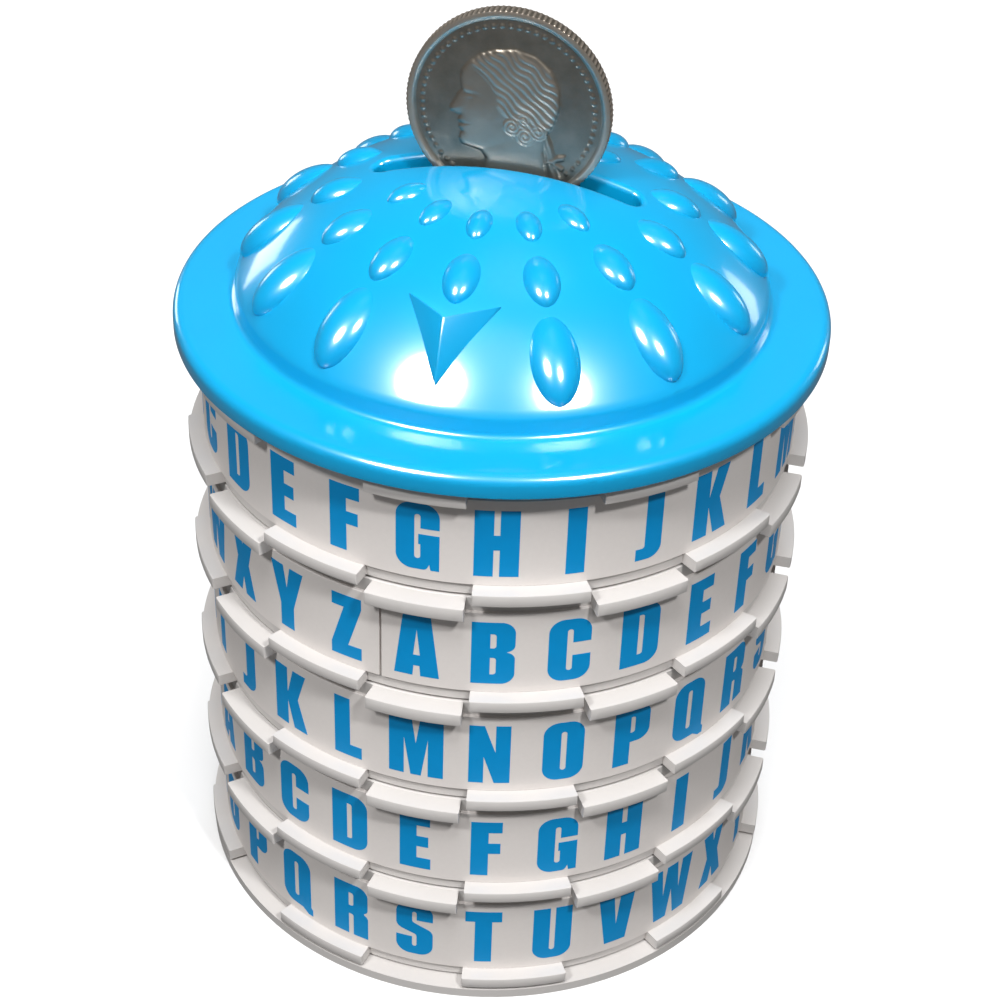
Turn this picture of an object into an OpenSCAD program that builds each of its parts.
// Cryptex coin bank: five letter rings on a fixed core, and a domed cap that carries
// a tube with five lugs. The cap lifts when every code ring turns its notch to the lugs.
// Millimetres, +Z up. The origin is at the middle of the underside, and -Y is the front,
// where the arrow, the lugs and the opening word are.

/* [Coin and slot] */
// Radius of the coin, which the slot, the tubes and the rings are sized around
coin_r = 12.13; // [9:0.01:16]
// Thickness of the coin
coin_t = 1.75; // [1:0.05:2.5]
// How much longer the slot is than the coin
slot_play = 8; // [2:0.1:12]
// Width of the coin slot
slot_w = 3; // [2.6:0.1:4]
// Turn of the slot and coin from square to the arrow, in degrees
slot_turn = 1.6; // [0:0.1:5]
// How far the coin stands down through the crown
coin_sunk = 5.3; // [2:0.1:10]

/* [Lid tube] */
// Width of the lid tube's head, from its opening to its rim
head_land = 8.7; // [8:0.1:12]
// Thickness of the lid tube's head
head_h = 2.6; // [2:0.1:4]
// Wall of the lid tube
tube_wall = 2; // [1.6:0.1:2.6]
// Height from the cap's underside to the lid tube's head
head_rise = 5.6; // [5:0.1:6]

/* [Core and base] */
// Wall of the core tube, which the rings turn on
core_wall = 3; // [2.6:0.1:5]
// Floor of the core tube, where the coins lie
core_floor = 4; // [3:0.1:4.2]
// Thickness of the base plate's rim
base_h = 1.35; // [1:0.05:1.6]
// Height of the raised middle of the base plate above its rim
base_step = 1.25; // [1:0.05:1.5]
// Width of the keyway that the lugs slide in
keyway_w = 6.6; // [4:0.1:10]
// Thickness of the retaining collar
collar_h = 1.5; // [1:0.1:1.8]
// How far the retaining collar stands out over the top ring
collar_out = 2.4; // [1:0.1:3]

/* [Rings] */
// Height that one ring takes in the stack
ring_pitch = 15.75; // [15.6:0.05:24]
// Wall of a letter ring
ring_wall = 3; // [2:0.1:5]
// How far the grip tabs stand out of the wall
tab_out = 2.4; // [1:0.1:4]
// Grip tabs in each row
tab_count = 9; // [5:1:9]
// Angle that a tab of the lower row takes
low_tab_deg = 20.1; // [10:0.1:21]
// Angle that a tab of the upper row takes
high_tab_deg = 17.4; // [10:0.1:18]
// Height of the lower row of tabs
low_tab_h = 1.6; // [1:0.05:3]
// Height of the upper row of tabs
high_tab_h = 1.8; // [1:0.05:3]
// Thickness of the printed letter strip
strip_t = 0.45; // [0.2:0.05:1]
// Gap where the two ends of a letter strip meet
seam_w = 0.3; // [0.1:0.1:1]
// Places in the alphabet of the five code letters, from the top ring down
code = [6, 0, 12, 4, 18]; // [0:1:25]

/* [Lock] */
// How far a lug reaches out of the core tube
lug_out = 2; // [1:0.1:4]
// Height of a lug
lug_h = 3; // [2:0.1:3.2]
// Height of the web that the notch is cut in
web_h = 5; // [3:0.1:5.2]
// Space above a code ring's web
web_top = 1.45; // [1:0.05:1.6]
// Liner of a code ring, outside the lugs
liner_t = 1.6; // [1:0.1:3]
// Width of the key between a code ring and its letter ring
key_w = 3; // [2:0.1:6]

/* [Cap] */
// How far the flange stands out past the grip tabs
flange_out = 1; // [0.3:0.1:4]
// Thickness of the flange
flange_h = 2.85; // [2.6:0.05:5]
// Rounding of the flange's upper edge
flange_round = 1.3; // [0.4:0.1:2]
// Width of the flange outside the dome
ledge_w = 7.6; // [6:0.1:8]
// Height of the upright wall under the dome
dome_wall_h = 2.4; // [1:0.1:4]
// Height of the crown above the cap's underside
dome_rise = 20.25; // [18:0.05:26]
// Radius of the shoulder's arc
shoulder_r = 33; // [28:0.1:36]
// Angle from the axis at which the crown's arc meets the shoulder's
join_deg = 24; // [18:0.5:30]
// Thickness of the cap's shell
cap_wall = 2.2; // [1.6:0.1:2.4]
// How far the ovals and the arrow stand out
relief_h = 0.7; // [0.2:0.1:1.5]
// Columns of ovals around the dome
oval_columns = 14; // [8:1:14]

/* [Screws] */
// Shank radius of the cap and base screws
screw_r = 1; // [0.8:0.05:1.2]
// Shank radius of the collar screws
small_screw_r = 0.8; // [0.6:0.05:0.9]
// Distance from the base screws to the core tube's inner wall
base_screw_in = 6.5; // [4:0.1:10]

/* [Hidden] */
$fn = 96;

rings = 5;                                  // rings in the stack
letters = 26;                               // letters on each strip
end_gap = 0.3;                              // between stacked rings, and at loose sides
turn_gap = 0.05;                            // running fit of a ring on the core tube
bite = 0.05;                                // a screw's thread in its pilot hole
over = 1;                                   // how far a cutting shape runs past a face
root = 0.3;                                 // how far joined shapes run into each other
hole_gap = 0.1;                             // a screw or a key in its clearance hole
seat_gap = 0.1;                             // between the cap and the collar
pilot_past = 0.4;                           // how far a pilot hole runs past its screw

slot_l = 2 * coin_r + slot_play;            // length of the coin slot
open_past = 1.4;                            // from the slot's end to the opening under it
head_open_r = slot_l / 2 + open_past;       // opening in the lid tube's head
tube_r = head_open_r + head_land;
tube_in = tube_r - tube_wall;
core_in = tube_r + end_gap;
core_r = core_in + core_wall;
bore_r = core_r + turn_gap;                 // a code ring's web on the core tube
lug_r = core_r + lug_out;
lug_room = 0.5;                             // between a lug and its groove
groove_r = lug_r + lug_room;
liner_r = groove_r + liner_t;               // where a code ring sits in a letter ring
ring_r = liner_r + ring_wall;               // outside of a letter ring's wall
tab_r = ring_r + tab_out;
flange_r = tab_r + flange_out;
dome_wall_r = flange_r - ledge_w;
base_in = 0.1;                              // from the tabs' outside to the base plate's
base_r = tab_r - base_in;

core_z = base_h + base_step;                // underside of the core tube
stack_z = base_h + end_gap;                 // underside of the lowest ring
stack_top = stack_z + rings * ring_pitch;   // core tube's top, and the cap's underside
ring_h = ring_pitch - end_gap;
tab_inset = end_gap / 2;                    // from a ring's end faces to its tabs
web_z = ring_h - web_top - web_h;           // underside of the web
lug_drop = 0.4;                             // from a web down to the lug under it
lug_z = web_z - lug_drop - lug_h;           // underside of a lug, above its ring's underside
lug_w = keyway_w - 2 * end_gap;
key_in = 1;                                 // how far the key stands into the letter ring

floor_z = core_z + core_floor;              // where coins lie
tube_lift = 0.4;                            // from the coin floor to the lid tube
tube_z = floor_z + tube_lift;
head_z = stack_top + head_rise;             // underside of the lid tube's head
head_top = head_z + head_h;
collar_r = core_r + collar_out;
collar_top = stack_top + collar_h;
seat_z = collar_top + seat_gap;             // the cap's step over the collar
collar_room = 1;                            // around the collar, inside the cap

// The crown's arc is the one that lets the shoulder's arc, tangent to it at the join,
// come down exactly on the top of the upright wall. arc_drop is the difference of radii.
wall_top = flange_h + dome_wall_h;
rise_in = wall_top - dome_rise + shoulder_r;
versine = 1 - cos(join_deg);
half_b = dome_wall_r * sin(join_deg) - rise_in * versine;
arc_c = pow(dome_wall_r, 2) + pow(rise_in, 2) - pow(shoulder_r, 2);
arc_drop = (half_b - sqrt(half_b * half_b - 2 * versine * arc_c)) / (2 * versine);
crown_r = shoulder_r + arc_drop;
crown_z = stack_top + dome_rise - crown_r;  // centre of the crown's arc
shoulder_x = (crown_r - shoulder_r) * sin(join_deg);
shoulder_z = crown_z + (crown_r - shoulder_r) * cos(join_deg);
join_r = crown_r * sin(join_deg);
flange_top = stack_top + flange_h;
base_fillet = 0.9;                          // between the upright wall and the flange
coin_z = stack_top + dome_rise - coin_sunk + coin_r;

// Rows of ovals: how far in from the upright wall, length and width
oval_rows = [[20, 4.6, 3], [12.6, 6.2, 4.2], [4.7, 10.2, 5.8]];
ovals = [for (row = oval_rows) [dome_wall_r - row[0], row[1], row[2]]];
arrow_in = 5.8;                             // the arrow's middle, in from the upright wall
arrow_at = dome_wall_r - arrow_in;
arrow_w = 10.6;
arrow_l = 9.6;
arrow_notch = 2.4;                          // from the arrow's middle to its notch
slot_room = 1;                              // least land between the slot and an oval

small_head_r = 1.5;
small_head_t = 0.9;
head_r = 2;
head_t = 1.3;
sink_h = 1.2;                               // height of the base screws' tapered heads
sink_in = 0.2;                              // their depth below the underside
cross_l = 2.4;                              // cross recess in those heads
cross_w = 0.5;
cross_t = 0.6;
post_wall = 2.5;                            // around the cap screws, inside the cap
floor_left = 0.4;                           // least floor over a base screw's hole
collar_screw_l = 7;
cap_screw_l = head_h + 4;
screw_short = 0.2;                          // from a base screw's tip to its hole's end
base_screw_l = floor_z - floor_left - screw_short - sink_in;
small_screw_at = core_r - core_wall / 2;    // middle of the core tube's wall
cap_screw_at = (head_open_r + tube_r) / 2;  // middle of the lid tube's head
base_screw_at = core_in - base_screw_in;

coin_rim_w = 0.8;                           // raised rim on both of the coin's faces
coin_rim_h = 0.12;

// Underside of ring n, counted from the top
function ring_z(n) = stack_z + (rings - n) * ring_pitch;

// Height and slope of the dome's skin at a distance from the axis
function skin_z(r) = r < join_r
    ? crown_z + sqrt(crown_r * crown_r - r * r)
    : shoulder_z + sqrt(shoulder_r * shoulder_r - pow(r - shoulder_x, 2));
function skin_tilt(r) = r < join_r ? asin(r / crown_r) : asin((r - shoulder_x) / shoulder_r);

// A ring-shaped band between two radii
module band(r_in, r_out, z, h) {
    rotate_extrude() translate([r_in, z]) square([r_out - r_in, h]);
}

// A piece of a band, centred on the front
module arc_band(r_in, r_out, z, h, deg) {
    rotate([0, 0, -90 - deg / 2])
        rotate_extrude(angle = deg) translate([r_in, z]) square([r_out - r_in, h]);
}

// A row of grip tabs, the first at a given angle from the front
module tab_row(z, h, deg, first) {
    for (i = [0 : tab_count - 1])
        rotate([0, 0, first + i * 360 / tab_count])
            arc_band(ring_r - 1, tab_r, z, h, deg);
}

// Copies at equal angles from the front, at one distance from the axis
module around(count, at, first = 0) {
    for (i = [0 : count - 1])
        rotate([0, 0, first + i * 360 / count]) translate([0, -at, 0]) children();
}

// A long shape with round ends, along Y
module stadium(l, w) {
    translate([-w / 2, -(l - w) / 2]) square([w, l - w]);
    for (s = [-1, 1]) translate([0, s * (l - w) / 2]) circle(w / 2);
}

// A pan-head screw standing on its head's underside, shank down
module pan_screw(r, l, top_r, top_t) {
    difference() {
        union() {
            translate([0, 0, -l]) cylinder(h = l, r = r);
            cylinder(h = top_t, r = top_r);
        }
        cross(top_r * 1.2, r / 2, top_t / 2, top_t);
    }
}

// A cross to cut out of a screw's head
module cross(l, w, z, h) {
    for (turn = [0, 90]) rotate([0, 0, turn]) translate([-l / 2, -w / 2, z]) cube([l, w, h]);
}

module base_plate() {
    color("white") difference() {
        union() {
            cylinder(h = base_h, r = base_r);
            cylinder(h = core_z, r = core_r - end_gap);
        }
        around(3, base_screw_at) base_sink();
    }
}

// The tapered hole of a base screw
module base_sink() {
    head_hole_r = head_r + hole_gap;
    hole_r = screw_r + hole_gap;
    translate([0, 0, sink_in]) cylinder(h = sink_h, r1 = head_hole_r, r2 = hole_r);
    translate([0, 0, -over]) cylinder(h = over + sink_in, r = head_hole_r);
    cylinder(h = core_z + over, r = hole_r);
}

module base_screws() {
    color("silver") around(3, base_screw_at) difference() {
        translate([0, 0, sink_in]) union() {
            cylinder(h = sink_h, r1 = head_r, r2 = screw_r);
            cylinder(h = base_screw_l, r = screw_r);
        }
        cross(cross_l, cross_w, 0, sink_in + cross_t);
    }
}

module core_tube() {
    color("gainsboro") difference() {
        translate([0, 0, core_z]) cylinder(h = stack_top - core_z, r = core_r);
        translate([0, 0, floor_z]) cylinder(h = stack_top, r = core_in);
        translate([-keyway_w / 2, -core_r - over, floor_z])
            cube([keyway_w, core_wall + 2 * over, stack_top]);
        around(3, base_screw_at)
            translate([0, 0, core_z - over])
                cylinder(h = over + core_floor - floor_left, r = screw_r - bite);
        around(3, small_screw_at, 60)
            translate([0, 0, collar_top - collar_screw_l - pilot_past])
                cylinder(h = collar_screw_l + over, r = small_screw_r - bite);
    }
}

module retaining_collar() {
    color("gainsboro") difference() {
        band(core_in, collar_r, stack_top, collar_h);
        translate([-keyway_w / 2, -collar_r - over, stack_top - over])
            cube([keyway_w, collar_r - core_in + 3 * over, collar_h + 2 * over]);
        around(3, small_screw_at, 60)
            translate([0, 0, stack_top - over])
                cylinder(h = collar_h + 2 * over, r = small_screw_r + hole_gap);
    }
}

module collar_screws() {
    color("silver") around(3, small_screw_at, 60)
        translate([0, 0, collar_top])
            pan_screw(small_screw_r, collar_screw_l, small_head_r, small_head_t);
}

module letter_ring(n) {
    color("white") translate([0, 0, ring_z(n)]) difference() {
        union() {
            band(liner_r, ring_r, 0, ring_h);
            tab_row(tab_inset, low_tab_h, low_tab_deg, 180 / tab_count);
            tab_row(ring_h - tab_inset - high_tab_h, high_tab_h, high_tab_deg, 0);
        }
        translate([-key_w / 2, -liner_r - key_in - hole_gap, -over])
            cube([key_w, key_in + over, ring_h + 2 * over]);
    }
}

module letter_strip(n) {
    low = tab_inset + low_tab_h;
    high = ring_h - tab_inset - high_tab_h;
    seam_deg = -(code[n - 1] + 0.5) * 360 / letters;
    color("linen") translate([0, 0, ring_z(n)]) difference() {
        band(ring_r, ring_r + strip_t, low, high - low);
        rotate([0, 0, seam_deg])
            translate([-seam_w / 2, -ring_r - strip_t - over, low - over])
                cube([seam_w, strip_t + 2 * over, high - low + 2 * over]);
    }
}

module code_ring(n) {
    color("lightsteelblue") translate([0, 0, ring_z(n)]) difference() {
        union() {
            band(groove_r, liner_r, 0, ring_h);
            band(bore_r, groove_r + root, web_z, web_h);
            translate([-key_w / 2, -liner_r - key_in, 0]) cube([key_w, key_in + root, ring_h]);
        }
        translate([-keyway_w / 2, -groove_r, web_z - over])
            cube([keyway_w, groove_r - bore_r + over, web_h + 2 * over]);
    }
}

// Half-outline of the dome, between the axis and the upright wall
module dome_outline(grow) {
    far = 2 * crown_r;
    intersection() {
        translate([0, stack_top - over]) square([dome_wall_r + grow, 2 * dome_rise]);
        union() {
            intersection() {
                translate([0, crown_z]) circle(crown_r + grow);
                polygon([[0, crown_z], [0, crown_z + far],
                    [far * sin(join_deg), crown_z + far * cos(join_deg)]]);
            }
            translate([shoulder_x, shoulder_z]) circle(shoulder_r + grow);
        }
    }
}

// Half-outline of the flange, with its round upper edge and the fillet inside it
module flange_outline() {
    round_z = flange_top - flange_round;
    translate([0, stack_top]) square([flange_r, flange_h - flange_round]);
    translate([0, stack_top]) square([flange_r - flange_round, flange_h]);
    translate([flange_r - flange_round, round_z]) circle(flange_round);
    difference() {
        translate([0, flange_top - over]) square([dome_wall_r + base_fillet, base_fillet + over]);
        translate([dome_wall_r + base_fillet, flange_top + base_fillet]) circle(base_fillet);
    }
}

// The arrow's outline, its point toward the front
module arrow_outline() {
    half = arrow_w / 2;
    polygon([[0, -arrow_l / 2], [-half, arrow_l / 2], [0, arrow_notch], [half, arrow_l / 2]]);
}

// Whether an oval lies beyond the ends of the slot, or well beside it
function clears_slot(row, deg) = row[0] > slot_l / 2
    || row[0] * abs(cos(deg)) > (slot_w + row[2]) / 2 + slot_room;

// Everything that stands out of the dome, cut to one height
module dome_relief() {
    step = 360 / oval_columns;
    intersection() {
        rotate_extrude() dome_outline(relief_h);
        union() {
            for (row = ovals, i = [0 : oval_columns - 1])
                if ((row[0] < arrow_at || i > 0) && clears_slot(row, i * step))
                    rotate([0, 0, i * step])
                        translate([0, -row[0], skin_z(row[0])])
                            rotate([skin_tilt(row[0]), 0, 0])
                                translate([0, 0, -over])
                                    linear_extrude(3 * over) stadium(row[1], row[2]);
            translate([0, -arrow_at, skin_z(arrow_at)])
                rotate([skin_tilt(arrow_at), 0, 0])
                    translate([0, 0, -over]) linear_extrude(3 * over) arrow_outline();
        }
    }
}

module cap() {
    color("deepskyblue") difference() {
        union() {
            difference() {
                union() {
                    rotate_extrude() {
                        intersection() {
                            dome_outline(0);
                            translate([0, stack_top]) square([flange_r, 2 * dome_rise]);
                        }
                        flange_outline();
                    }
                    dome_relief();
                }
                cap_hollow();
            }
            cap_posts();
        }
        around(2, cap_screw_at)
            translate([0, 0, head_top - over])
                cylinder(h = over + cap_screw_l - head_h + pilot_past, r = screw_r - bite);
        rotate([0, 0, 90 + slot_turn])
            translate([0, 0, stack_top])
                linear_extrude(2 * dome_rise) stadium(slot_l, slot_w);
    }
}

// Posts that the cap screws bite in, from the lid tube's head up into the shell
module cap_posts() {
    half = screw_r + post_wall;
    deg = 2 * asin(half / cap_screw_at);
    for (side = [0, 180])
        rotate([0, 0, side - 90 - deg / 2]) rotate_extrude(angle = deg) intersection() {
            dome_outline(-cap_wall / 2);
            translate([cap_screw_at - half, head_top]) square([2 * half, dome_rise]);
        }
}

// Space inside the cap: wide over the collar, then the dome's own shape
module cap_hollow() {
    translate([0, 0, stack_top - over])
        cylinder(h = seat_z - stack_top + over, r = collar_r + collar_room);
    rotate_extrude() dome_outline(-cap_wall);
}

module lid_tube() {
    color("lightsteelblue") difference() {
        union() {
            band(tube_in, tube_r, tube_z, head_z - tube_z + over);
            band(head_open_r, tube_r, head_z, head_h);
            for (n = [1 : rings])
                translate([-lug_w / 2, -lug_r, ring_z(n) + lug_z])
                    cube([lug_w, lug_r - tube_in - tube_wall / 2, lug_h]);
        }
        around(2, cap_screw_at)
            translate([0, 0, head_z - over])
                cylinder(h = head_h + 2 * over, r = screw_r + hole_gap);
    }
}

module cap_screws() {
    color("silver") around(2, cap_screw_at)
        translate([0, 0, head_z])
            mirror([0, 0, 1]) pan_screw(screw_r, cap_screw_l, head_r, head_t);
}

module coin() {
    color("dimgray") rotate([0, 0, slot_turn]) translate([0, 0, coin_z]) rotate([90, 0, 0])
        difference() {
            translate([0, 0, -coin_t / 2]) cylinder(h = coin_t, r = coin_r);
            for (s = [0, 1]) mirror([0, 0, s])
                translate([0, 0, coin_t / 2 - coin_rim_h])
                    cylinder(h = over, r = coin_r - coin_rim_w);
        }
}

base_plate();
base_screws();
core_tube();
retaining_collar();
collar_screws();
letter_ring(1);  // letter_ring_1
letter_ring(2);  // letter_ring_2
letter_ring(3);  // letter_ring_3
letter_ring(4);  // letter_ring_4
letter_ring(5);  // letter_ring_5
letter_strip(1);  // letter_strip_1
letter_strip(2);  // letter_strip_2
letter_strip(3);  // letter_strip_3
letter_strip(4);  // letter_strip_4
letter_strip(5);  // letter_strip_5
code_ring(1);  // code_ring_1
code_ring(2);  // code_ring_2
code_ring(3);  // code_ring_3
code_ring(4);  // code_ring_4
code_ring(5);  // code_ring_5
cap();
lid_tube();
cap_screws();
coin();
